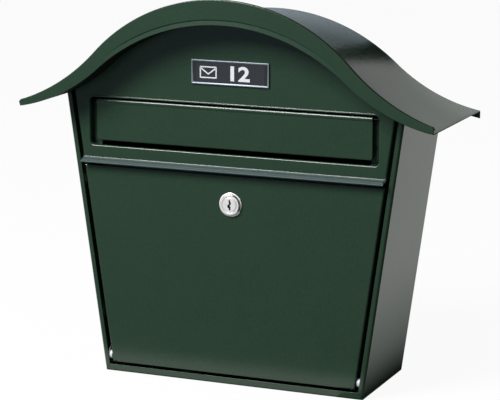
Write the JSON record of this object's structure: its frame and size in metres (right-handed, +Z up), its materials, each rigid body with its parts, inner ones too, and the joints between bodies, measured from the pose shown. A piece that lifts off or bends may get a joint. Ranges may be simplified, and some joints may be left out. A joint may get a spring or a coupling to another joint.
{
  "type": "wall mounted mailbox",
  "caption": "Wall mounted sheet-steel mailbox with an S-curved roof, crescent fascia, letter flap in a recessed slot and a tapered bottom-hinged removal door with a cam lock.",
  "frame": {"origin": "centre of the four wall screw holes, on the wall plane at the back panel's rear face", "axes": "+Z up, -Y out of the front, +X to the right as seen from the front"},
  "size_m": [0.387, 0.13, 0.3458],
  "materials": {
    "green_powder_coat": "fine textured semi-gloss moss green powder coat on sheet steel",
    "zinc_plated_steel": "bright zinc plated steel",
    "black_oxide_steel": "drawn steel wire with a black oxide finish",
    "nickel_plated_zinc": "nickel plated die-cast zinc, softly polished",
    "badge_aluminium": "satin aluminium",
    "badge_grey_print": "satin dark grey print",
    "black_rubber": "matt black rubber",
    "white_nylon": "natural white nylon"
  },
  "bodies": {
    "housing": {"body_shell": "green_powder_coat", "back_panel": "green_powder_coat", "roof_sheet": "green_powder_coat", "front_fascia": "green_powder_coat", "roof_seats": "green_powder_coat", "upper_panel": "green_powder_coat", "latch_rail": "zinc_plated_steel", "flap_rod": "black_oxide_steel", "flap_rod_caps": "zinc_plated_steel", "flap_buffers": "black_rubber", "badge_frame": "badge_aluminium", "badge_field": "badge_grey_print", "badge_pins": "badge_aluminium", "hinge_brackets": "zinc_plated_steel", "hinge_rivets": "zinc_plated_steel", "hinge_washers": "white_nylon"},
    "door": {"door_pan": "green_powder_coat", "lock_body": "nickel_plated_zinc", "lock_washer": "zinc_plated_steel", "lock_nut": "zinc_plated_steel"},
    "lock_core": {"lock_plug": "nickel_plated_zinc", "lock_cam": "zinc_plated_steel", "cam_washer": "zinc_plated_steel", "cam_screw": "zinc_plated_steel"},
    "flap": {"slot_flap": "green_powder_coat"}
  },
  "joints": [
    {"name": "door_hinge", "type": "hinge", "parent": "housing", "child": "door", "pos_m": [0, -0.0988, -0.0908], "axis": [1, 0, 0], "range_deg": [0, 110]},
    {"name": "lock_turn", "type": "hinge", "parent": "door", "child": "lock_core", "pos_m": [0, -0.104, 0.0588], "axis": [0, -1, 0], "range_deg": [0, 90]},
    {"name": "flap_hinge", "type": "hinge", "parent": "housing", "child": "flap", "pos_m": [0, -0.1009, 0.1423], "axis": [-1, 0, 0], "range_deg": [0, 80]}
  ]
}
